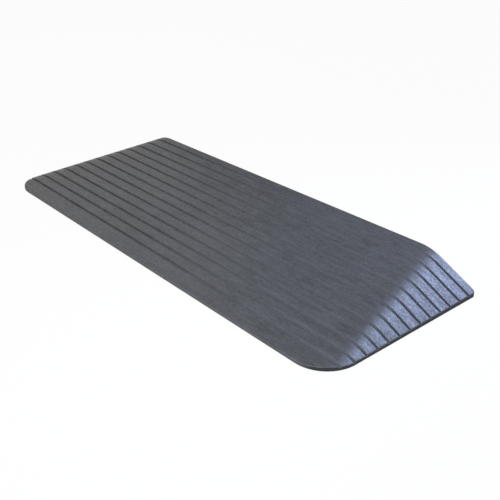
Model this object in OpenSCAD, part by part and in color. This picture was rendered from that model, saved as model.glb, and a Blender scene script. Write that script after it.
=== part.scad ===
// Rubber threshold ramp: one moulded wedge with bevelled ends and a grooved top,
// held down by adhesive tape strips let into its flat underside.
// Millimetres. X runs along the threshold, Y from the toe to the threshold, Z up.
// The origin is the middle of the underside.

/* [Wedge] */
// Width of the ramp along the threshold
ramp_width = 1070; // [900:10:1300]
// Depth of the ramp from the toe to the threshold
ramp_depth = 380; // [300:5:500]
// Height of the ramp at the threshold
ramp_height = 60; // [45:1:80]
// Thickness left at the toe
toe_thickness = 6; // [4:0.5:9]
// Corner radius at the two ends of the toe, seen from above
toe_corner_radius = 67; // [30:1:90]
// Corner radius at the two ends of the threshold edge, seen from above
back_corner_radius = 6; // [3:0.5:15]

/* [End bevels] */
// Run of the bevel at each end, measured along the threshold edge
bevel_run = 102; // [80:1:150]
// Height of the upright wall below each bevel, at the toe
end_wall_toe = 6; // [5:0.5:9]
// Height of the upright wall below each bevel, at the threshold
end_wall_back = 9.5; // [6:0.5:12]
// Radius of the crest between the top and a bevel
crest_radius = 105; // [60:1:140]

/* [Grooves] */
// Number of grooves
groove_count = 13; // [8:1:16]
// Width of a groove
groove_width = 4; // [2:0.1:6]
// Depth of a groove
groove_depth = 2; // [1:0.1:3]
// Plain strip from the toe to the middle of the first groove
toe_strip = 39; // [25:1:60]
// Plain strip from the middle of the last groove to the threshold
back_strip = 20; // [12:1:40]

/* [Hold-down strips] */
// Length of a tape strip
strip_length = 200; // [120:5:240]
// Width of a tape strip
strip_width = 25; // [15:1:40]
// Thickness of the foam tape
tape_thickness = 1.2; // [0.8:0.1:2]
// Thickness of the release liner
liner_thickness = 0.2; // [0.1:0.05:0.4]
// Radius of the pull tab on the end of a liner
pull_tab_radius = 8; // [4:0.5:12]
// Gap between a strip and the side of its recess
strip_clearance = 0.5; // [0.3:0.1:1.5]
// Distance from the ramp's end to the nearest strip
strip_end_margin = 90; // [60:5:120]
// Distance from the toe to the middle of the front row
front_row_setback = 95; // [80:5:120]
// Distance from the threshold to the middle of the back row
back_row_setback = 45; // [30:1:70]

/* [Hidden] */
$fn = 96;

// Length that every cut runs past the faces it cuts
overrun = 60;
// Height by which the crest's arc laps over the two faces that it joins
crest_lap = 0.005;

end_x = ramp_width / 2;
toe_y = -ramp_depth / 2;
back_y = ramp_depth / 2;
groove_pitch = (ramp_depth - toe_strip - back_strip) / (groove_count - 1);

// The top and the right bevel as planes, and the straight line where they would meet
top_slope = (ramp_height - toe_thickness) / ramp_depth;
bevel_slope = (ramp_height - end_wall_back) / bevel_run;
wall_slope = (end_wall_back - end_wall_toe) / ramp_depth;
top_normal = unit([0, -top_slope, 1]);
bevel_normal = unit([bevel_slope, -wall_slope, 1]);
crest_line = unit(cross(top_normal, bevel_normal));
crest_inward = cross(top_normal, crest_line);
crest_angle = acos(top_normal * bevel_normal);
crest_tangent = crest_radius * tan(crest_angle / 2);
crest_length = ramp_depth / crest_line.y;
crest_back_end = [end_x - bevel_run, back_y, ramp_height];
bevel_reach = norm([bevel_run, ramp_height - end_wall_toe]) + overrun;

recess_depth = tape_thickness + liner_thickness;
column_pitch = end_x - strip_end_margin - strip_length / 2;
row_names = ["front", "back"];
row_places = [toe_y + front_row_setback, back_y - back_row_setback];
column_names = ["left", "centre", "right"];
column_places = [-column_pitch, 0, column_pitch];

function unit(vector) = vector / norm(vector);
function strip_name(row, column, piece) = str(row_names[row], "_", column_names[column], "_", piece);
function strip_names(piece) =
    [for (row = [0 : len(row_names) - 1], column = [0 : len(column_names) - 1])
        strip_name(row, column, piece)];

// Places its children, drawn in a section across the right crest, at the crest's back end:
// the section's X points inward along the top, its Y up from the top and its Z along the crest
module across_crest() {
    multmatrix([
        [crest_inward.x, top_normal.x, crest_line.x, crest_back_end.x],
        [crest_inward.y, top_normal.y, crest_line.y, crest_back_end.y],
        [crest_inward.z, top_normal.z, crest_line.z, crest_back_end.z],
        [0, 0, 0, 1]
    ])
        children();
}

// Section of what is cut away above the right bevel and its rounded crest
module crest_waste_section() {
    down_bevel = [-cos(crest_angle), -sin(crest_angle)];
    difference() {
        polygon([
            [crest_tangent, overrun],
            [-bevel_reach, overrun],
            bevel_reach * down_bevel,
            crest_tangent * down_bevel,
            [crest_tangent, -crest_radius],
            [crest_tangent, 0]
        ]);
        translate([crest_tangent, -crest_radius]) circle(crest_radius + crest_lap);
    }
}

module crest_waste() {
    across_crest()
        translate([0, 0, -crest_length - overrun])
            linear_extrude(crest_length + 2 * overrun) crest_waste_section();
}

// Everything below the top, the two bevels and their crests, longer than the ramp
module below_surface() {
    long_end = end_x + overrun;
    long_back = back_y + overrun;
    long_toe = toe_y - overrun;
    difference() {
        translate([-long_end, 0, 0])
            rotate([90, 0, 90])
                linear_extrude(2 * long_end)
                    polygon([
                        [long_toe, -overrun],
                        [long_back, -overrun],
                        [long_back, ramp_height + top_slope * overrun],
                        [long_toe, toe_thickness - top_slope * overrun]
                    ]);
        crest_waste();
        mirror([1, 0, 0]) crest_waste();
    }
}

// Square corner at the origin, less the round that fits in it
module corner_waste(radius) {
    difference() {
        translate([-radius, -radius]) square(radius + overrun);
        translate([-radius, -radius]) circle(radius);
    }
}

// Outline of the ramp seen from above
module plan_outline() {
    difference() {
        translate([-end_x, toe_y]) square([ramp_width, ramp_depth]);
        for (side = [0, 1]) mirror([side, 0]) {
            translate([end_x, back_y]) corner_waste(back_corner_radius);
            translate([end_x, toe_y]) mirror([0, 1]) corner_waste(toe_corner_radius);
        }
    }
}

// Grooves along the ramp that follow its top, crests and bevels at an even depth
module grooves() {
    groove_reach = end_x + overrun / 2;
    difference() {
        for (index = [0 : groove_count - 1])
            translate([-groove_reach, toe_y + toe_strip + index * groove_pitch - groove_width / 2, 0])
                cube([2 * groove_reach, groove_width, ramp_height + overrun]);
        translate([0, 0, -groove_depth]) below_surface();
    }
}

module at_strip(row, column) {
    translate([column_places[column], row_places[row], 0]) children();
}

// Outline of a strip with its pull tab, grown by a gap all round
module strip_outline(gap) {
    square([strip_length + 2 * gap, strip_width + 2 * gap], center = true);
    translate([strip_length / 2, 0]) circle(pull_tab_radius + gap);
}

module strip_recesses() {
    for (row = [0 : len(row_names) - 1], column = [0 : len(column_names) - 1])
        at_strip(row, column)
            translate([0, 0, -overrun])
                linear_extrude(overrun + recess_depth) strip_outline(strip_clearance);
}

module ramp_body() {
    color("dimgray")
        difference() {
            intersection() {
                linear_extrude(ramp_height + overrun) plan_outline();
                below_surface();
            }
            grooves();
            strip_recesses();
        }
}

module tape() {
    color("darkslategray")
        translate([0, 0, liner_thickness])
            linear_extrude(tape_thickness) square([strip_length, strip_width], center = true);
}

module liner() {
    color("ivory")
        linear_extrude(liner_thickness) strip_outline(0);
}

ramp_body();
for (row = [0 : len(row_names) - 1], column = [0 : len(column_names) - 1]) {
    at_strip(row, column) tape();
    at_strip(row, column) liner();
}
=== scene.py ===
"""Dresses a rubber threshold ramp: one grooved moulding on six strips of hold-down tape.

Lengths are metres in the part's own frame. X runs along the threshold, Y from the thin toe to the
tall threshold edge and Z up. The flat underside is at zero.
"""

from __future__ import annotations

import logging
import math
from dataclasses import dataclass, field
from enum import Enum

import bpy
import numpy as np
from mathutils import Matrix, Vector

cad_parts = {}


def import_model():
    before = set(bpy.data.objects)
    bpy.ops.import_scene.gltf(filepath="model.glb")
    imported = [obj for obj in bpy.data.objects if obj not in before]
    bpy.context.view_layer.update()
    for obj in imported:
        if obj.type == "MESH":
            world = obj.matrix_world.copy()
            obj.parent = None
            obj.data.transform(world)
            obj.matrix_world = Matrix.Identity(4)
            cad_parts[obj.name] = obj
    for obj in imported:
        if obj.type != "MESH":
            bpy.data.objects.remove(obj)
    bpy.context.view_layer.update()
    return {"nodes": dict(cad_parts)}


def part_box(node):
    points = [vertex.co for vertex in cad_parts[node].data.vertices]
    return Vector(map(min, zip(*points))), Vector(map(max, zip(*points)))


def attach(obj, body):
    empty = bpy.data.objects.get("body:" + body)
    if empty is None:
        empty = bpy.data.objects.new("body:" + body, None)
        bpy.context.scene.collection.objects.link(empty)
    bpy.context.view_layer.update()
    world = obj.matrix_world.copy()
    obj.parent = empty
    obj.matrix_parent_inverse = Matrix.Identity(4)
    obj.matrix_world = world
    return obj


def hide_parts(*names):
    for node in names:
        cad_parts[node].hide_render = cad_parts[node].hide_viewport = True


LOG = logging.getLogger("threshold_ramp")
MILLIMETRE = 0.001
OPAQUE = 1.0
UNIT = (0.0, 1.0)
BOTH_WAYS = (-1.0, 1.0)

Array = np.ndarray
Socket = bpy.types.NodeSocket
Span = tuple[float, float]
Colour = tuple[float, float, float]
Point = tuple[float, float, float]


class Slot(Enum):
    """Material slots of the record."""

    RUBBER = "rubber"
    TAPE = "tape"
    LINER = "liner"


class Row(Enum):
    """The two rows of hold-down strips."""

    FRONT = "front"
    BACK = "back"


class Column(Enum):
    """The three strips of a row."""

    LEFT = "left"
    CENTRE = "centre"
    RIGHT = "right"


class Mark(Enum):
    """Values from 0 to 1 that the moulding's mesh carries for its finish.

    In their order the marks are the depth in a groove, the way over the crest from the top to a
    bevel, painted shade in dark blue in the bevels' grooves, painted light in pale blue in the top's
    grooves, painted shade along the groove lips and the strength of the flecks. Then come the way
    down a bevel, abrasion and painted highlight on lips and edges, and the painted shade of the
    upright sides.
    """

    GROOVE = "groove"
    BEVEL = "bevel"
    SOIL = "soil"
    DUST = "dust"
    GRIME = "grime"
    COARSE = "coarse"
    FADE = "fade"
    LIP = "lip"
    WALL = "wall"


class Shader:
    """A material's node tree, built one node at a time."""

    def __init__(self, name: str) -> None:
        """Starts an empty material.

        Args:
            name: The material's name.
        """
        self.material = bpy.data.materials.new(name)
        self.material.use_nodes = True
        self.tree = self.material.node_tree
        self.tree.nodes.clear()

    def feed(self, socket: Socket, value: object) -> None:
        """Links a socket to the one that feeds it, or sets its value.

        Args:
            socket: The socket of a node's input.
            value: A value or the socket that feeds it.
        """
        if isinstance(value, Socket):
            self.tree.links.new(value, socket)
        else:
            socket.default_value = value

    def add(self, kind: str, inputs: dict | None = None, **settings: object) -> bpy.types.Node:
        """Adds a node.

        Args:
            kind: Blender's name for the kind of node.
            inputs: Socket name or number, to a value or to the socket that feeds it.
            settings: The node's own settings.

        Returns:
            The new node.
        """
        node = self.tree.nodes.new(kind)
        for name, value in settings.items():
            setattr(node, name, value)
        for name, value in (inputs or {}).items():
            self.feed(node.inputs[name], value)
        return node

    def place(self, scale: Point = (1.0, 1.0, 1.0)) -> Socket:
        """Gives the object's own coordinates, stretched.

        Args:
            scale: Factor on each axis; a small one draws a pattern out along that axis.

        Returns:
            The vector socket.
        """
        spot = self.add("ShaderNodeTexCoord").outputs["Object"]
        return self.add("ShaderNodeMapping", {"Vector": spot, "Scale": scale}).outputs["Vector"]

    def noise(self, place: Socket, detail: float, scale: float = 1.0) -> Socket:
        """Gives a cloudy pattern from 0 to 1.

        Args:
            place: Where the pattern is read.
            detail: Octaves of finer clouds.
            scale: Clouds per unit of the place, a metre where the place isn't stretched.

        Returns:
            The value socket.
        """
        inputs = {"Vector": place, "Scale": scale, "Detail": detail}
        return self.add("ShaderNodeTexNoise", inputs).outputs["Fac"]

    def spread(self, value: Socket, span: Span, onto: Span) -> Socket:
        """Maps a value from one span onto another, clamped.

        Args:
            value: The value to map.
            span: Lowest and highest value that comes in.
            onto: What these two become.

        Returns:
            The mapped value's socket.
        """
        inputs = {"Value": value, "From Min": span[0], "From Max": span[1],
                  "To Min": onto[0], "To Max": onto[1]}
        return self.add("ShaderNodeMapRange", inputs).outputs["Result"]

    def mark(self, mark: Mark) -> Socket:
        """Reads one of the mesh's own values."""
        return self.add("ShaderNodeAttribute", attribute_name=mark.value).outputs["Fac"]

    def combine(self, operation: str, first: Socket | float, second: Socket | float) -> Socket:
        """Does sums with two values.

        Args:
            operation: Blender's name for the sum.
            first: A number or a socket.
            second: A number or a socket.

        Returns:
            The result's socket.
        """
        return self.add("ShaderNodeMath", {0: first, 1: second}, operation=operation).outputs["Value"]

    def weigh(self, share: float, first: Socket, second: Socket) -> Socket:
        """Adds two values in shares that make up 1.

        Args:
            share: How much of the first there is; the rest is the second.
            first: A value.
            second: A value.

        Returns:
            The sum's socket.
        """
        return self.combine("ADD", self.combine("MULTIPLY", first, share),
                            self.combine("MULTIPLY", second, 1.0 - share))

    def blend(self, share: Socket | float, first: Socket | Colour, second: Socket | Colour) -> Socket:
        """Blends two colours.

        Args:
            share: How much of the second there is, a number or a socket.
            first: A colour or a socket.
            second: A colour or a socket.

        Returns:
            The colour socket.
        """
        node = self.add("ShaderNodeMix", data_type="RGBA")
        for slot, value in zip(("Factor_Float", "A_Color", "B_Color"), (share, first, second)):
            socket = next(s for s in node.inputs if s.identifier == slot)
            self.feed(socket, (*value, OPAQUE) if isinstance(value, tuple) else value)
        return next(s for s in node.outputs if s.identifier == "Result_Color")

    def bump(self, height: Socket, distance: float, strength: float,
             normal: Socket | None = None) -> Socket:
        """Raises a fine relief.

        Args:
            height: The relief's height, from 0 to 1.
            distance: The height in metres that 1 stands for.
            strength: How much of it shows.
            normal: A relief that this one lies on.

        Returns:
            The normal socket.
        """
        inputs = {"Height": height, "Distance": distance, "Strength": strength}
        if normal is not None:
            inputs["Normal"] = normal
        return self.add("ShaderNodeBump", inputs).outputs["Normal"]

    def surface(self, inputs: dict) -> bpy.types.Material:
        """Closes the tree with a physically based surface.

        Args:
            inputs: The surface's sockets, to values or sockets.

        Returns:
            The finished material.
        """
        body = self.add("ShaderNodeBsdfPrincipled", inputs)
        self.add("ShaderNodeOutputMaterial", {"Surface": body.outputs["BSDF"]})
        return self.material


@dataclass(frozen=True)
class Patterns:
    """The noises that the rubber's colour, gloss and relief share."""

    mottle: Socket
    grain: Socket
    streak: Socket
    speckle: Socket


@dataclass(frozen=True)
class RubberFinish:
    """Moulded dark rubber: mottled, finely grained, drawn out in streaks along the grooves."""

    dark: Colour = (0.0435, 0.0445, 0.0460)
    light: Colour = (0.103, 0.105, 0.108)
    # Painted shade: dark blue for the bevels' grooves, which lie in shade.
    soil: Colour = (0.012, 0.026, 0.075)
    # Painted shade: the dark of the shaded groove lips and upright sides.
    grime: Colour = (0.020, 0.022, 0.026)
    # Painted light: pale blue that lightens the top's grooves as if lit from the front.
    dust: Colour = (0.112, 0.122, 0.148)
    # Pale colour of abrasion and of painted highlights on lips and edges.
    worn_and_lit: Colour = (0.185, 0.192, 0.205)
    mottle_scale: float = 16.0
    mottle_detail: float = 5.0
    mottle_span: Span = (0.3, 0.7)
    mottle_share: float = 0.25
    grain_scale: float = 130.0
    grain_detail: float = 4.0
    grain_height: float = 0.7 * MILLIMETRE
    speckle_scale: float = 240.0
    speckle_detail: float = 2.0
    streak_stretch: Point = (22.0, 130.0, 22.0)
    streak_detail: float = 4.0
    streak_span: Span = (0.34, 0.66)
    streak_share: float = 0.35
    streak_height: float = 0.7 * MILLIMETRE
    fleck_speckle: float = 0.6
    fleck_span: Span = (0.38, 0.62)
    fleck_swing: Span = (-0.5, 0.5)
    fleck_share: Span = (0.42, 1.1)
    middle_tone: float = 0.2
    groove_shade_share: float = 0.5
    # How dark the painted shade along the groove lips is.
    lip_shade_share: float = 0.28
    # How dark the painted shade on the upright sides is.
    wall_share: float = 0.8
    # Patchiness of the abrasion and painted highlight.
    wear_highlight_span: Span = (0.35, 0.65)
    wear_highlight_share: Span = (0.25, 0.6)
    polish_speckle: float = 0.6
    polish_span: Span = (0.36, 0.64)
    roughness: float = 0.33
    top_swing: float = 0.03
    bevel_swing: float = 0.05
    dullness: float = 0.50
    sheen_span: Span = (0.5, 0.42)
    sheen_swing: float = 0.24
    relief_strength: float = 0.5

    def patterns(self, shader: Shader) -> Patterns:
        """Lays out the rubber's noises.

        Args:
            shader: The rubber's node tree.

        Returns:
            The noises.
        """
        place = shader.place()
        drawn_out = shader.place(self.streak_stretch)
        return Patterns(
            mottle=shader.noise(place, self.mottle_detail, self.mottle_scale),
            grain=shader.noise(place, self.grain_detail, self.grain_scale),
            streak=shader.noise(drawn_out, self.streak_detail),
            speckle=shader.noise(place, self.speckle_detail, self.speckle_scale),
        )

    def clean(self, shader: Shader, noises: Patterns) -> Socket:
        """Mixes the clean rubber's colour from its clouds, flecks and streaks.

        Args:
            shader: The rubber's node tree.
            noises: The rubber's noises.

        Returns:
            The colour socket.
        """
        cloud = shader.spread(noises.mottle, self.mottle_span, (0.0, self.mottle_share))
        drawn = shader.spread(noises.streak, self.streak_span, (0.0, self.streak_share))
        flecks = shader.weigh(self.fleck_speckle, noises.speckle, noises.grain)
        coarse = shader.spread(shader.mark(Mark.COARSE), UNIT, self.fleck_share)
        swing = shader.spread(flecks, self.fleck_span, self.fleck_swing)
        fleck = shader.combine("MULTIPLY", swing, coarse)
        tone = shader.combine("ADD", shader.combine("ADD", cloud, fleck), drawn)
        return shader.blend(shader.combine("ADD", tone, self.middle_tone), self.dark, self.light)

    def painted_and_worn(self, shader: Shader, noises: Patterns, clean: Socket) -> Socket:
        """Lays painted light, painted shade, abrasion and painted highlights on the clean rubber.

        Args:
            shader: The rubber's node tree.
            noises: The rubber's noises.
            clean: The clean rubber's colour.

        Returns:
            The colour socket.
        """
        # Painted light: the top's grooves lightened as if lit.
        groove_lit = shader.blend(shader.mark(Mark.DUST), clean, self.dust)
        # Painted shade: the bevels' grooves darkened and tinted blue.
        groove_shading = shader.combine("MULTIPLY", shader.mark(Mark.SOIL), self.groove_shade_share)
        groove_shaded = shader.blend(groove_shading, groove_lit, self.soil)
        # Painted shade along the groove lips.
        lip_shading = shader.combine("MULTIPLY", shader.mark(Mark.GRIME), self.lip_shade_share)
        # Painted shade on the upright sides.
        shade = shader.combine("MULTIPLY", shader.mark(Mark.WALL), self.wall_share)
        shade_painted = shader.blend(shader.combine("ADD", lip_shading, shade), groove_shaded, self.grime)
        # Abrasion and painted highlight on lips and edges, patchy with the clouds.
        wear_highlight = shader.spread(noises.mottle, self.wear_highlight_span, self.wear_highlight_share)
        wear_highlight_mask = shader.combine("MULTIPLY", shader.mark(Mark.LIP), wear_highlight)
        return shader.blend(wear_highlight_mask, shade_painted, self.worn_and_lit)

    def gloss(self, shader: Shader, noises: Patterns) -> tuple[Socket, Socket]:
        """Works out how rough the rubber is and how much it shines.

        Args:
            shader: The rubber's node tree.
            noises: The rubber's noises.

        Returns:
            The roughness and the specular level.
        """
        bevel = shader.mark(Mark.BEVEL)
        polish = shader.weigh(self.polish_speckle, noises.speckle, noises.streak)
        uneven = shader.spread(polish, self.polish_span, BOTH_WAYS)
        swing = shader.spread(bevel, UNIT, (self.top_swing, self.bevel_swing))
        rough = shader.combine("ADD", shader.combine("MULTIPLY", uneven, swing), self.roughness)
        dull = shader.combine("MAXIMUM", shader.mark(Mark.GROOVE), shader.mark(Mark.WALL))
        rough = shader.combine("ADD", rough, shader.combine("MULTIPLY", dull, self.dullness))
        level = shader.spread(shader.mark(Mark.FADE), UNIT, self.sheen_span)
        glint = shader.combine("MULTIPLY", uneven, shader.combine("MULTIPLY", bevel, self.sheen_swing))
        return rough, shader.combine("SUBTRACT", level, glint)

    def material(self) -> bpy.types.Material:
        """Builds the rubber.

        Returns:
            The material.
        """
        shader = Shader("moulded_rubber")
        noises = self.patterns(shader)
        colour = self.painted_and_worn(shader, noises, self.clean(shader, noises))
        rough, sheen = self.gloss(shader, noises)
        relief = shader.bump(noises.streak, self.streak_height, self.relief_strength)
        relief = shader.bump(noises.grain, self.grain_height, self.relief_strength, relief)
        return shader.surface({"Base Color": colour, "Roughness": rough, "Normal": relief,
                               "Specular IOR Level": sheen})


@dataclass(frozen=True)
class FoamFinish:
    """Dark closed-cell foam of the double-sided tape."""

    wall: Colour = (0.040, 0.042, 0.046)
    cell: Colour = (0.018, 0.019, 0.021)
    cells_per_metre: float = 1600.0
    cell_height: float = 0.15 * MILLIMETRE
    pore_span: Span = (0.1, 0.5)
    relief_strength: float = 0.6
    roughness: float = 0.85

    def material(self) -> bpy.types.Material:
        """Builds the foam.

        Returns:
            The material.
        """
        shader = Shader("tape_foam")
        inputs = {"Vector": shader.place(), "Scale": self.cells_per_metre}
        cells = shader.add("ShaderNodeTexVoronoi", inputs).outputs["Distance"]
        pore = shader.spread(cells, self.pore_span, (1.0, 0.0))
        colour = shader.blend(pore, self.wall, self.cell)
        relief = shader.bump(cells, self.cell_height, self.relief_strength)
        return shader.surface({"Base Color": colour, "Roughness": self.roughness, "Normal": relief})


@dataclass(frozen=True)
class LinerFinish:
    """Waxed paper of the release liner, with faint fibres."""

    sheet: Colour = (0.72, 0.66, 0.52)
    fibre: Colour = (0.60, 0.53, 0.40)
    fibre_stretch: Point = (60.0, 900.0, 900.0)
    fibre_detail: float = 3.0
    fibre_span: Span = (0.4, 0.7)
    cockle_scale: float = 45.0
    cockle_detail: float = 2.0
    cockle_span: Span = (0.3, 0.7)
    cockle_height: float = 0.1 * MILLIMETRE
    relief_strength: float = 0.5
    roughness: Span = (0.35, 0.5)

    def material(self) -> bpy.types.Material:
        """Builds the waxed paper.

        Returns:
            The material.
        """
        shader = Shader("release_liner")
        fibre = shader.noise(shader.place(self.fibre_stretch), self.fibre_detail)
        cockle = shader.noise(shader.place(), self.cockle_detail, self.cockle_scale)
        colour = shader.blend(shader.spread(fibre, self.fibre_span, UNIT), self.sheet, self.fibre)
        gloss = shader.spread(cockle, self.cockle_span, self.roughness)
        relief = shader.bump(cockle, self.cockle_height, self.relief_strength)
        return shader.surface({"Base Color": colour, "Roughness": gloss, "Normal": relief})


@dataclass
class Patchwork:
    """Vertices and faces of one closed mesh, gathered as whole arrays."""

    points: list[Array] = field(default_factory=list)
    marks: dict[Mark, list[Array]] = field(default_factory=lambda: {mark: [] for mark in Mark})
    quads: list[Array] = field(default_factory=list)
    plates: list[Array] = field(default_factory=list)
    count: int = 0

    def add(self, points: Array, marks: dict[Mark, Array] | None = None) -> Array:
        """Adds vertices.

        Args:
            points: Places, of any shape that ends in 3.
            marks: Values on them, which broadcast to that shape without the 3; 0 where left out.

        Returns:
            The vertices' numbers, of that shape without the 3.
        """
        shape = points.shape[:-1]
        size = math.prod(shape)
        self.points.append(points.reshape(size, 3))
        for mark in Mark:
            value = (marks or {}).get(mark, 0.0)
            self.marks[mark].append(np.broadcast_to(value, shape).reshape(size))
        numbers = np.arange(self.count, self.count + size).reshape(shape)
        self.count += size
        return numbers

    def face(self, grid: Array, keep: Array | None = None) -> None:
        """Fills a grid of vertices with quads, seen from the side on which rows turn left.

        Args:
            grid: Vertex numbers in rows and columns.
            keep: Which cells are filled; all, if left out.
        """
        cells = np.stack([grid[:-1, :-1], grid[:-1, 1:], grid[1:, 1:], grid[1:, :-1]], axis=-1)
        self.quads.append(cells.reshape(-1, 4) if keep is None else cells[keep])

    def hoop(self, lower: Array, upper: Array) -> None:
        """Joins two closed rings of vertices, facing away from a ring that turns left."""
        self.face(np.stack([np.append(lower, lower[0]), np.append(upper, upper[0])]))

    def mesh(self, name: str, crease: float) -> bpy.types.Mesh:
        """Makes the mesh.

        Args:
            name: The mesh's name.
            crease: Edges that bend more than this stay sharp, in radians.

        Returns:
            The mesh, smooth between its sharp edges, with the marks on its vertices.
        """
        mesh = bpy.data.meshes.new(name)
        faces = np.concatenate(self.quads).tolist() + [plate.tolist() for plate in self.plates]
        mesh.from_pydata(np.concatenate(self.points).tolist(), [], faces)
        for mark in Mark:
            layer = mesh.attributes.new(mark.value, "FLOAT", "POINT")
            layer.data.foreach_set("value", np.concatenate(self.marks[mark]).astype(np.float32))
        mesh.shade_smooth()
        mesh.set_sharp_from_angle(angle=crease)
        return mesh


def border(grid: Array) -> Array:
    """Walks round a grid's edge, turning left.

    Args:
        grid: Rows and columns of anything, rows from the toe, columns from the left.

    Returns:
        What lies on the edge: first row, last column, last row and first column, each once.
    """
    return np.concatenate([grid[0], grid[1:, -1], grid[-1, -2::-1], grid[-2:0:-1, 0]])


@dataclass(frozen=True)
class GrooveSide:
    """One side of a groove: a round lip and a straight wall."""

    lip_radius: float
    wall_angle: float


@dataclass
class GrooveSection:
    """Section across one groove: a soft lip on the toe side and a crisp one on the other."""

    width: float = 4.0 * MILLIMETRE
    depth: float = 2.0 * MILLIMETRE
    floor_radius: float = 0.8 * MILLIMETRE
    toe_side: GrooveSide = GrooveSide(lip_radius=1.9 * MILLIMETRE, wall_angle=math.radians(62.0))
    back_side: GrooveSide = GrooveSide(lip_radius=1.0 * MILLIMETRE, wall_angle=math.radians(80.0))
    arc_points: int = 6

    def half(self, side: GrooveSide) -> tuple[Array, Array, Array]:
        """Works out one side of the section, from the surface to the floor.

        The lip is an arc that turns down from level to the wall's angle, the wall is straight, and
        the floor's corner is an arc that turns back to level.

        Args:
            side: The side's lip and wall.

        Returns:
            Distances from the middle, drops below the surface and shares of the lip's turn.
        """
        turn = np.linspace(0.0, side.wall_angle, self.arc_points)
        rise, run = 1.0 - np.cos(turn), np.sin(turn)
        wall_drop = self.depth - (side.lip_radius + self.floor_radius) * rise[-1]
        half_run = wall_drop / math.tan(side.wall_angle) / 2.0
        lip_away = self.width / 2.0 + half_run + side.lip_radius * (run[-1] - run)
        floor_away = self.width / 2.0 - half_run - self.floor_radius * (run[-1] - run[::-1])
        drop = np.append(side.lip_radius * rise, self.depth - self.floor_radius * rise[::-1])
        turned = np.append(turn / side.wall_angle, np.ones_like(turn))
        return np.append(lip_away, floor_away), drop, turned

    def whole(self) -> dict[str, Array]:
        """Gives the whole section, from the toe side to the threshold side.

        Returns:
            Places across the groove (away), drops below the surface (drop), nearness to the lip on
            either side (toe_lip, back_lip) and what of the groove faces the toe (cover).
        """
        toe_away, toe_drop, toe_turned = self.half(self.toe_side)
        back_away, back_drop, back_turned = self.half(self.back_side)
        nothing = np.zeros_like(toe_turned)
        return {
            "away": np.append(-toe_away, back_away[::-1]),
            "drop": np.append(toe_drop, back_drop[::-1]),
            "toe_lip": np.append(1.0 - toe_turned, nothing),
            "back_lip": np.append(nothing, 1.0 - back_turned[::-1]),
            "cover": np.append(nothing, back_turned[::-1]),
        }


@dataclass(frozen=True)
class Rows:
    """Rows of the moulding from the toe to the threshold, with one value of each kind per row.

    The plan's outline has the place x, y and the outward direction out_x, out_y at a row's right
    end. The others are the groove section's values, which are 0 on the lands.
    """

    x: Array
    y: Array
    out_x: Array
    out_y: Array
    drop: Array
    toe_lip: Array
    back_lip: Array
    cover: Array


@dataclass
class RampShape:
    """The moulded surface: a sloping top and two bevels, with rounded crests between them."""

    width: float
    depth: float
    height: float
    toe_thickness: float = 6.0 * MILLIMETRE
    end_wall_toe: float = 6.0 * MILLIMETRE
    end_wall_back: float = 9.5 * MILLIMETRE
    bevel_run: float = 102.0 * MILLIMETRE
    crest_radius: float = 105.0 * MILLIMETRE
    toe_corner: float = 67.0 * MILLIMETRE
    back_corner: float = 6.0 * MILLIMETRE

    def __post_init__(self) -> None:
        """Works out the two planes and the cylinder that rounds the ridge between them."""
        self.end_x = self.width / 2.0
        self.toe_y = -self.depth / 2.0
        self.back_y = self.depth / 2.0
        self.top_slope = (self.height - self.toe_thickness) / self.depth
        self.bevel_slope = (self.height - self.end_wall_back) / self.bevel_run
        self.wall_slope = (self.end_wall_back - self.end_wall_toe) / self.depth
        top_normal = np.array(Vector((0.0, -self.top_slope, 1.0)).normalized())
        bevel_normal = np.array(Vector((self.bevel_slope, -self.wall_slope, 1.0)).normalized())
        ridge = np.cross(top_normal, bevel_normal)
        self.ridge = ridge / np.linalg.norm(ridge)
        inward = np.cross(top_normal, self.ridge)
        outward = np.cross(self.ridge, bevel_normal)
        turn = math.acos(float(top_normal @ bevel_normal))
        tangent = self.crest_radius * math.tan(turn / 2.0)
        ridge_end = np.array([self.end_x - self.bevel_run, self.back_y, self.height])
        self.crest_axis = ridge_end + tangent * inward - self.crest_radius * top_normal
        bevel_rise = self.wall_slope * inward[1] - self.bevel_slope * inward[0]
        self.top_limit = tangent * (bevel_rise - inward[2])
        self.bevel_limit = tangent * (outward[2] - self.top_slope * outward[1])

    def planes(self, x: Array, y: Array) -> tuple[Array, Array]:
        """Gives the heights of the top's plane and of the nearer bevel's plane."""
        top = self.toe_thickness + self.top_slope * (y - self.toe_y)
        end_wall = self.end_wall_toe + self.wall_slope * (y - self.toe_y)
        return top, end_wall + self.bevel_slope * (self.end_x - np.abs(x))

    def bevelled(self, x: Array, y: Array) -> Array:
        """Gives 0 on the top and 1 on a bevel, evenly changing over the crest between them."""
        top, bevel = self.planes(x, y)
        return np.clip((self.top_limit - bevel + top) / (self.top_limit - self.bevel_limit), *UNIT)

    def lowered(self, x: Array, y: Array) -> Array:
        """Gives 0 on the top and the crests, and more down a bevel, up to 1 at its back corner."""
        top, bevel = self.planes(x, y)
        lowest = self.end_wall_back - self.height
        return np.clip((self.bevel_limit - bevel + top) / (self.bevel_limit - lowest), *UNIT)

    def surface(self, x: Array, y: Array) -> Array:
        """Height of the moulded surface, with no grooves in it.

        It is the lower of the two planes. Near the ridge it is the upper side of a cylinder that
        lies along the ridge and touches both planes: the height at which a point is one radius
        from the cylinder's axis.

        Args:
            x: Places along the threshold.
            y: Places from the toe to the threshold.

        Returns:
            Heights above the floor.
        """
        end = np.abs(x)
        top, bevel = self.planes(x, y)
        foot = np.stack([end, y, np.zeros_like(end)], axis=-1) - self.crest_axis
        along = foot @ self.ridge
        square = 1.0 - self.ridge[2] ** 2
        linear = foot[..., 2] - along * self.ridge[2]
        fixed = np.sum(foot ** 2, axis=-1) - along ** 2 - self.crest_radius ** 2
        crest = (np.sqrt(np.maximum(linear ** 2 - square * fixed, 0.0)) - linear) / square
        lead = bevel - top
        return np.where(lead >= self.top_limit, top, np.where(lead <= self.bevel_limit, bevel, crest))


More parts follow.
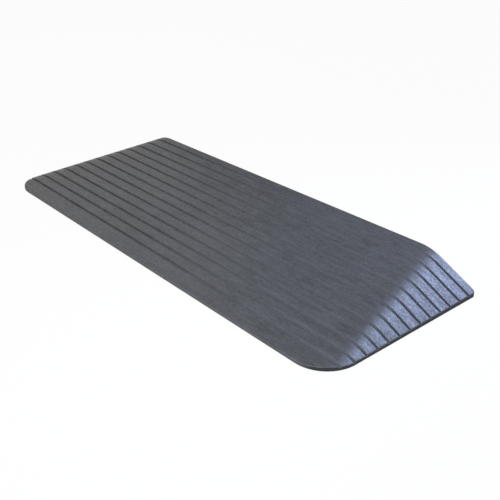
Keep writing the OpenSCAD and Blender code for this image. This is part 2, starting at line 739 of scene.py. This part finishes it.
@dataclass
class Strip:
    """One hold-down strip: the places of its tape and liner, and its recess in the underside."""

    row: Row
    column: Column
    clearance: float = 0.5 * MILLIMETRE
    border: float = 5.0 * MILLIMETRE
    shoulder_parts: int = 5

    @property
    def tape(self) -> str:
        """Name of the strip's tape."""
        return f"{self.row.value}_{self.column.value}_tape"

    @property
    def liner(self) -> str:
        """Name of the strip's liner."""
        return f"{self.row.value}_{self.column.value}_liner"

    def measure(self) -> tuple[Vector, Vector, float]:
        """Gives the tape's low and high corner and the radius of the liner's pull tab."""
        low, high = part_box(self.tape)
        return low, high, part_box(self.liner)[1].x - high.x

    def outline(self, long_points: int, end_points: int) -> Array:
        """Walks round the recess, turning left from its low corner.

        The outline is the tape's rectangle and the half round of the pull tab at its far end, both
        grown by the clearance. Each shoulder beside the tab has one in shoulder_parts of the end's
        points.

        Args:
            long_points: Points on each long side, with both corners.
            end_points: Points on each end, with both corners.

        Returns:
            Places in X and Y, each once.
        """
        low, high, tab = self.measure()
        left, right = low.x - self.clearance, high.x + self.clearance
        near, far = low.y - self.clearance, high.y + self.clearance
        middle = (near + far) / 2.0
        radius = tab + self.clearance
        half_turn = math.acos(self.clearance / radius)
        root = radius * math.sin(half_turn)
        straight = end_points // self.shoulder_parts
        turn = np.linspace(-half_turn, half_turn, end_points - 2 * straight)
        end_y = np.concatenate([np.linspace(near, middle - root, straight + 1)[:-1],
                                middle + radius * np.sin(turn),
                                np.linspace(middle + root, far, straight + 1)[1:]])
        shoulder = np.full(straight, right)
        end_x = np.concatenate([shoulder, high.x + radius * np.cos(turn), shoulder])
        long_x = np.linspace(left, right, long_points)
        side_y = np.linspace(near, far, end_points)
        around_x = np.concatenate([long_x, end_x[1:], long_x[-2::-1], np.full(end_points - 2, left)])
        around_y = np.concatenate([np.full(long_points, near), end_y[1:],
                                   np.full(long_points - 1, far), side_y[-2:0:-1]])
        return np.stack([around_x, around_y], axis=-1)

    def sink(self, work: Patchwork, under: Array, x: Array, y: Array) -> Array:
        """Sinks the recess into the underside.

        A block of the underside's cells gives way to a collar that runs in to the recess, the
        recess's walls and its ceiling.

        Args:
            work: The moulding's mesh.
            under: Vertex numbers of the underside.
            x: Places of the underside's columns.
            y: Places of the underside's rows.

        Returns:
            Which cells of the underside gave way.
        """
        low, high, tab = self.measure()
        first_column = np.searchsorted(x, low.x - self.border) - 1
        last_column = np.searchsorted(x, high.x + tab + self.border)
        first_row = np.searchsorted(y, low.y - self.border) - 1
        last_row = np.searchsorted(y, high.y + self.border)
        block = under[first_row:last_row + 1, first_column:last_column + 1]
        rim = self.outline(block.shape[1], block.shape[0])
        mouth = work.add(np.column_stack([rim, np.zeros(len(rim))]))
        ceiling = work.add(np.column_stack([rim, np.full(len(rim), high.z)]))
        work.hoop(mouth, border(block))
        work.hoop(ceiling, mouth)
        work.plates.append(ceiling[::-1])
        taken = np.zeros((under.shape[0] - 1, under.shape[1] - 1), dtype=bool)
        taken[first_row:last_row, first_column:last_column] = True
        return taken


@dataclass
class RampBody:
    """The rubber moulding, as one closed surface over a grid of rows and columns.

    The columns are far apart up to plain_x and close together from there on. Where the painted
    light in the top's grooves starts and ends along X is given for the rows at groove_light_rows.
    Painted shade in the bevels' grooves takes over from that painted light while the crest's turn
    goes through groove_shading_turn, the top's abrasion and painted highlight fade through
    wear_highlight_fade in Y and the flecks fade through coarse_fade in X. The painted shade of the
    end walls drops to toe_shade or back_shade while the outline turns through shaded_turn.
    """

    shape: RampShape
    groove: GrooveSection
    strips: list[Strip]
    finish: RubberFinish
    groove_count: int = 13
    toe_strip: float = 39.0 * MILLIMETRE
    back_strip: float = 20.0 * MILLIMETRE
    top_edge: float = 1.0 * MILLIMETRE
    bottom_edge: float = 0.8 * MILLIMETRE
    lip_margin: float = 2.2 * MILLIMETRE
    # Rows, and where along each the painted light in the top's grooves starts and ends.
    groove_light_rows: Point = (-150.0 * MILLIMETRE, 10.0 * MILLIMETRE, 170.0 * MILLIMETRE)
    groove_light_start: Point = (-30.0 * MILLIMETRE, -440.0 * MILLIMETRE, -560.0 * MILLIMETRE)
    groove_light_end: Point = (460.0 * MILLIMETRE, 640.0 * MILLIMETRE, 150.0 * MILLIMETRE)
    # Turn over the crest through which painted shade takes over from painted light in the grooves.
    groove_shading_turn: Span = (0.65, 1.0)
    wear_highlight_fade: Span = (20.0 * MILLIMETRE, 150.0 * MILLIMETRE)
    top_wear_highlight: float = 0.55
    coarse_fade: Span = (-400.0 * MILLIMETRE, 200.0 * MILLIMETRE)
    bevel_coarse: float = 0.3
    shaded_turn: Span = (0.91, 0.98)
    toe_shade: float = 0.3
    back_shade: float = 0.15
    plain_x: float = 385.0 * MILLIMETRE
    square_x: float = 462.0 * MILLIMETRE
    plain_columns: int = 15
    crest_columns: int = 24
    end_columns: int = 22
    last_share: float = 0.985
    land_rows: int = 5
    toe_rows: int = 14
    back_rows: int = 6
    edge_rings: int = 5
    wall_rings: int = 3
    crease: float = math.radians(38.0)

    def rows(self) -> Rows:
        """Works out the rows, from the toe to the threshold.

        Rows lie close together across a groove and round the plan's corners, and far apart on the
        lands. Each row ends on the plan's outline, on a straight side or on a corner's arc.

        Returns:
            The rows.
        """
        shape, edge = self.shape, self.top_edge
        first, last = shape.toe_y + self.toe_strip, shape.back_y - self.back_strip
        middles = np.linspace(first, last, self.groove_count)
        section = self.groove.whole()
        away = section.pop("away")
        before, after = away[0] - self.lip_margin, away[-1] + self.lip_margin
        stops = np.concatenate([middles + before, middles + after])
        toe_turn = np.linspace(0.0, np.pi / 2.0, self.toe_rows)
        toe_y = shape.toe_y + shape.toe_corner - (shape.toe_corner - edge) * np.cos(toe_turn)
        back_turn = np.linspace(np.pi / 2.0, 0.0, self.back_rows)
        back_y = shape.back_y - shape.back_corner + (shape.back_corner - edge) * np.cos(back_turn)
        lands = np.linspace(middles[:-1] + after, middles[1:] + before, self.land_rows)[1:-1].ravel()
        plain = np.concatenate([toe_y, lands, back_y])
        past = plain[:, None] - middles
        blocked = (past > before - self.lip_margin) & (past < after + self.lip_margin)
        plain = np.append(plain[~np.any(blocked, axis=1)], stops)
        level = np.zeros_like(plain)
        y = np.append(plain, (middles[:, None] + away).ravel())
        order = np.argsort(y)
        y = y[order]
        toe_lean = (shape.toe_y + shape.toe_corner - y) / (shape.toe_corner - edge)
        back_lean = (y - shape.back_y + shape.back_corner) / (shape.back_corner - edge)
        out_y = np.clip(back_lean, *UNIT) - np.clip(toe_lean, *UNIT)
        out_x = np.sqrt(np.maximum(1.0 - out_y ** 2, 0.0))
        corner = np.where(out_y < 0.0, shape.toe_corner, shape.back_corner)
        grooved = {name: np.append(level, np.tile(values, self.groove_count))[order]
                   for name, values in section.items()}
        end_x = shape.end_x - corner * (1.0 - out_x)
        return Rows(x=end_x, y=y + edge * out_y, out_x=out_x, out_y=out_y, **grooved)

    def plan(self, rows: Rows, inset: float) -> tuple[Array, Array]:
        """Spreads the columns over the plan, drawn in from its outline.

        The columns are straight up to square_x, and from there they share out what is left of each
        row evenly, with one more close to the end.

        Args:
            rows: The rows.
            inset: How far inside the outline the grid ends.

        Returns:
            Places in X and in Y.
        """
        half = (rows.x - inset * rows.out_x)[:, None]
        share = np.append(np.linspace(0.0, 1.0, self.end_columns)[1:-1], [self.last_share, 1.0])
        end = self.square_x + share * (half - self.square_x)
        crest = np.linspace(self.plain_x, self.square_x, self.crest_columns)[1:]
        middle = np.linspace(-self.plain_x, self.plain_x, self.plain_columns)
        straight = np.concatenate([-crest[::-1], middle, crest])
        x = np.concatenate([-end[:, ::-1], np.tile(straight, (len(half), 1)), end], axis=1)
        y = np.broadcast_to((rows.y - inset * rows.out_y)[:, None], x.shape)
        return x, y

    def marks(self, rows: Rows, x: Array, y: Array) -> dict[Mark, Array]:
        """Works out the marks of the top, the bevels and the grooves in them.

        Along each row the top's grooves get more painted light, from where groove_light_start says to
        where groove_light_end says, and the painted light takes the place of the painted shade on
        their back lips. On a bevel the grooves get painted shade instead of both. The abrasion and
        painted highlight of the top fade towards the threshold, and the flecks fade towards the right
        end.

        Args:
            rows: The rows.
            x: Places along the threshold.
            y: Places from the toe to the threshold.

        Returns:
            The marks in rows and columns, or in rows alone.
        """
        # Painted light in the top's grooves, growing along each row.
        groove_light_start = np.interp(y, self.groove_light_rows, self.groove_light_start)
        groove_light_end = np.interp(y, self.groove_light_rows, self.groove_light_end)
        groove_lit = np.clip((x - groove_light_start) / (groove_light_end - groove_light_start), *UNIT)
        bevelled = self.shape.bevelled(x, y)
        groove_shading = np.interp(bevelled, self.groove_shading_turn, UNIT)
        # Abrasion and painted highlight on the top, less towards the threshold.
        worn_and_lit = np.interp(y, self.wear_highlight_fade, (self.top_wear_highlight, 0.0))
        coarse = np.interp(x, self.coarse_fade, (1.0, 0.0))
        sunk = rows.drop[:, None] / self.groove.depth
        back_lip = rows.back_lip[:, None]
        # Painted shade on both lips of a groove, less on the back lip where painted light is.
        lip_shading = rows.toe_lip[:, None] + back_lip * (1.0 - groove_lit)
        return {
            Mark.GROOVE: sunk,
            Mark.BEVEL: bevelled,
            # Painted shade in the bevels' grooves, taking over from the painted light over the crest.
            Mark.SOIL: sunk * groove_shading,
            # Painted light on the part of each top groove that faces the toe.
            Mark.DUST: rows.cover[:, None] * groove_lit * (1.0 - groove_shading),
            # Painted shade on the top's groove lips, none on the bevels.
            Mark.GRIME: lip_shading * (1.0 - bevelled),
            Mark.COARSE: np.maximum(coarse, bevelled * self.bevel_coarse),
            Mark.FADE: self.shape.lowered(x, y),
            # Abrasion and painted highlight on the back lips: on the top where its grooves have
            # painted light, all over the bevels.
            Mark.LIP: back_lip * np.maximum(groove_lit * worn_and_lit, bevelled),
        }

    def rim(self, work: Patchwork, rows: Rows, top: Array, under: Array) -> None:
        """Closes the moulding's edge from the top round to the underside.

        The top edge is a curve that leaves along the surface's slope and ends upright, the wall is
        straight and the bottom edge is a quarter round.

        Args:
            work: The moulding's mesh.
            rows: The rows.
            top: Vertex numbers of the top.
            under: Vertex numbers of the underside.
        """
        x, y = self.plan(rows, self.top_edge)
        out_x = np.zeros_like(x)
        out_y = np.zeros_like(x)
        out_x[:, 0], out_x[:, -1] = -rows.out_x, rows.out_x
        out_y[:, 0] = out_y[:, -1] = rows.out_y
        out_y[0], out_y[-1] = -1.0, 1.0
        drop = border(np.broadcast_to(rows.drop[:, None], x.shape))
        place = np.stack([border(x), border(y)], axis=-1)
        out = np.stack([border(out_x), border(out_y)], axis=-1)
        edge = place + self.top_edge * out
        start = self.shape.surface(place[:, 0], place[:, 1]) - drop
        corner = self.shape.surface(edge[:, 0], edge[:, 1]) - drop
        brink = corner - np.hypot(self.top_edge, corner - start)
        round_share = np.linspace(0.0, 1.0, self.edge_rings + 1)[1:, None]
        rest_share = 1.0 - round_share
        round_out = self.top_edge * (1.0 - rest_share ** 2) * np.ones_like(drop)
        round_height = (rest_share ** 2 * start + 2.0 * round_share * rest_share * corner
                        + round_share ** 2 * brink)
        wall_share = np.linspace(0.0, 1.0, self.wall_rings + 1)[1:, None]
        wall_height = brink + wall_share * (self.bottom_edge - brink)
        turn = np.linspace(0.0, np.pi / 2.0, self.edge_rings)[1:-1, None]
        foot_height = self.bottom_edge * (1.0 - np.sin(turn)) * np.ones_like(drop)
        foot_out = self.top_edge - self.bottom_edge * (1.0 - np.cos(turn)) * np.ones_like(drop)
        height = np.concatenate([round_height, wall_height, foot_height])
        away = np.concatenate([round_out, np.full_like(wall_height, self.top_edge), foot_out])
        # Abrasion and painted highlight along the round of the top edge.
        unmarked = np.zeros(len(wall_share) + len(turn))[:, None]
        wear_highlight = np.append(np.sin(np.pi * round_share), unmarked, axis=0)
        spot = np.concatenate([place + away[..., None] * out, height[..., None]], axis=-1)
        side = np.append(round_share ** 2, np.ones_like(unmarked), axis=0)
        turned = np.abs(out[:, 1])
        # Painted shade: full on the end walls, less as the outline turns to the toe or the threshold.
        least = np.where(out[:, 1] < 0.0, self.toe_shade, self.back_shade)
        shade = 1.0 - (1.0 - least) * np.interp(turned, self.shaded_turn, UNIT)
        rings = work.add(spot, {Mark.LIP: wear_highlight, Mark.WALL: side * shade})
        stack = np.concatenate([border(top)[None], rings, border(under)[None]])
        closed = np.concatenate([stack, stack[:, :1]], axis=1)
        work.face(closed[::-1])

    def build(self) -> bpy.types.Object:
        """Builds and dresses the moulding.

        Returns:
            The moulding's object.
        """
        rows = self.rows()
        work = Patchwork()
        x, y = self.plan(rows, self.top_edge)
        height = self.shape.surface(x, y) - rows.drop[:, None]
        top = work.add(np.stack([x, y, height], axis=-1), self.marks(rows, x, y))
        work.face(top)
        under_x, under_y = self.plan(rows, self.bottom_edge)
        under = work.add(np.stack([under_x, under_y, np.zeros_like(under_x)], axis=-1))
        self.rim(work, rows, top, under)
        middle_row = len(under) // 2
        taken = [strip.sink(work, under, under_x[middle_row], under_y[:, 0]) for strip in self.strips]
        left = ~np.any(taken, axis=0)
        work.face(under[:, ::-1], left[:, ::-1])
        mesh = work.mesh("ramp_moulding", self.crease)
        mesh.materials.append(self.finish.material())
        piece = bpy.data.objects.new("ramp_moulding", mesh)
        bpy.context.scene.collection.objects.link(piece)
        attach(piece, "root")
        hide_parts("ramp_body")
        return piece


@dataclass
class HoldDown:
    """The tape and the liners on the underside, which keep their solids."""

    strips: list[Strip]
    foam: FoamFinish
    paper: LinerFinish

    def dress(self, nodes: dict[str, bpy.types.Object]) -> list[bpy.types.Object]:
        """Gives tape and liners their finish.

        Args:
            nodes: The part's solids by name.

        Returns:
            The dressed pieces.
        """
        foam, paper = self.foam.material(), self.paper.material()
        tapes = [nodes[strip.tape] for strip in self.strips]
        liners = [nodes[strip.liner] for strip in self.strips]
        for pieces, material, slot in ((tapes, foam, Slot.TAPE), (liners, paper, Slot.LINER)):
            for piece in pieces:
                piece.data.materials.clear()
                piece.data.materials.append(material)
        return tapes + liners


@dataclass(frozen=True)
class Softbox:
    """A rectangular studio lamp."""

    name: str
    place: Point
    aim: Point
    size: Span
    power: float
    colour: Colour = (1.0, 1.0, 1.0)
    beam: float = math.pi

    def hang(self) -> None:
        """Hangs the lamp and turns it to what it lights."""
        light = bpy.data.lights.new(self.name, "AREA")
        light.shape = "RECTANGLE"
        light.size, light.size_y = self.size
        light.energy = self.power
        light.spread = self.beam
        light.color = self.colour
        lamp = bpy.data.objects.new(self.name, light)
        lamp.location = self.place
        lamp.rotation_euler = (Vector(self.aim) - lamp.location).to_track_quat("-Z", "Y").to_euler()
        lamp.visible_camera = False
        bpy.context.scene.collection.objects.link(lamp)


@dataclass
class Studio:
    """The floor, the lamps, the surroundings and the camera."""

    floor_half: float = 40.0
    floor_height: float = -0.4 * MILLIMETRE
    floor_colour: Colour = (0.9, 0.9, 0.9)
    white_share: float = 0.95
    white_strength: float = 1.0
    surround: Colour = (0.355, 0.35, 0.34)
    camera_place: Point = (1.1906, -0.87502, 0.71533)
    camera_aim: Point = (0.15371, -0.0157, 0.02)
    camera_roll: float = math.radians(-1.306)
    camera_lens: float = 55.428
    softboxes: tuple[Softbox, ...] = (
        Softbox("window", place=(0.54, 0.81, 0.93), aim=(0.36, 0.0, 0.03), size=(0.45, 1.0),
                power=4.75, colour=(0.485, 0.60, 0.97), beam=math.radians(100.0)),
        Softbox("fill", place=(0.55, -0.85, 0.80), aim=(0.3, 0.2, 0.04), size=(0.35, 0.35),
                power=3.2, colour=(0.88, 0.95, 1.0), beam=math.radians(120.0)),
        Softbox("panel", place=(-1.75, 0.45, 0.9), aim=(-0.4, -0.05, 0.03), size=(1.0, 1.3),
                power=1.85, colour=(1.0, 0.98, 0.96)),
        Softbox("side", place=(-0.6, -0.8, 0.9), aim=(-0.3, 0.0, 0.03), size=(0.35, 0.35),
                power=2.0, colour=(1.0, 0.98, 0.95)),
    )

    def floor(self) -> bpy.types.Object:
        """Lays a pale floor that the camera sees as white, with the ramp's soft shadow on it.

        Returns:
            The floor's object.
        """
        shader = Shader("studio_floor")
        path = shader.add("ShaderNodeLightPath")
        seen = shader.combine("MAXIMUM", path.outputs["Is Camera Ray"], path.outputs["Is Glossy Ray"])
        seen = shader.combine("MAXIMUM", seen, path.outputs["Is Transmission Ray"])
        share = shader.combine("MULTIPLY", seen, self.white_share)
        matt = shader.add("ShaderNodeBsdfDiffuse", {"Color": (*self.floor_colour, OPAQUE)})
        white = shader.add("ShaderNodeEmission", {"Strength": self.white_strength})
        inputs = {0: share, 1: matt.outputs["BSDF"], 2: white.outputs["Emission"]}
        mixed = shader.add("ShaderNodeMixShader", inputs)
        shader.add("ShaderNodeOutputMaterial", {"Surface": mixed.outputs["Shader"]})
        side = np.array([-self.floor_half, self.floor_half])
        x, y = np.meshgrid(side, side)
        work = Patchwork()
        work.face(work.add(np.stack([x, y, np.full_like(x, self.floor_height)], axis=-1)))
        mesh = work.mesh("studio_floor", math.pi)
        mesh.materials.append(shader.material)
        piece = bpy.data.objects.new("studio_floor", mesh)
        bpy.context.scene.collection.objects.link(piece)
        return piece

    def surroundings(self) -> None:
        """Puts the ramp in an even, dim room."""
        world = bpy.data.worlds.new("studio")
        world.use_nodes = True
        background = world.node_tree.nodes["Background"]
        background.inputs["Color"].default_value = (*self.surround, OPAQUE)
        bpy.context.scene.world = world

    def camera(self) -> None:
        """Sets the camera where the photograph was taken from."""
        data = bpy.data.cameras.new("camera")
        data.lens = self.camera_lens
        camera = bpy.data.objects.new("camera", data)
        place = Vector(self.camera_place)
        look = (Vector(self.camera_aim) - place).to_track_quat("-Z", "Y").to_matrix()
        turned = look @ Matrix.Rotation(self.camera_roll, 3, "Z")
        camera.matrix_world = Matrix.Translation(place) @ turned.to_4x4()
        bpy.context.scene.collection.objects.link(camera)
        bpy.context.scene.camera = camera

    def build(self) -> None:
        """Sets up the whole studio."""
        self.floor()
        self.surroundings()
        self.camera()
        for softbox in self.softboxes:
            softbox.hang()
        bpy.context.scene.view_settings.view_transform = "Standard"


def main() -> None:
    """Loads the part, builds and dresses its pieces and sets up the studio."""
    logging.basicConfig(level=logging.INFO, format="%(name)s: %(message)s")
    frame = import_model()
    low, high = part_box("ramp_body")
    shape = RampShape(width=high.x - low.x, depth=high.y - low.y, height=high.z - low.z)
    strips = [Strip(row, column) for row in Row for column in Column]
    body = RampBody(shape, GrooveSection(), strips, RubberFinish()).build()
    LOG.info("%s: %d faces", body.name, len(body.data.polygons))
    for piece in HoldDown(strips, FoamFinish(), LinerFinish()).dress(frame["nodes"]):
        LOG.info("%s dressed", piece.name)
    Studio().build()


if __name__ == "__main__":
    main()
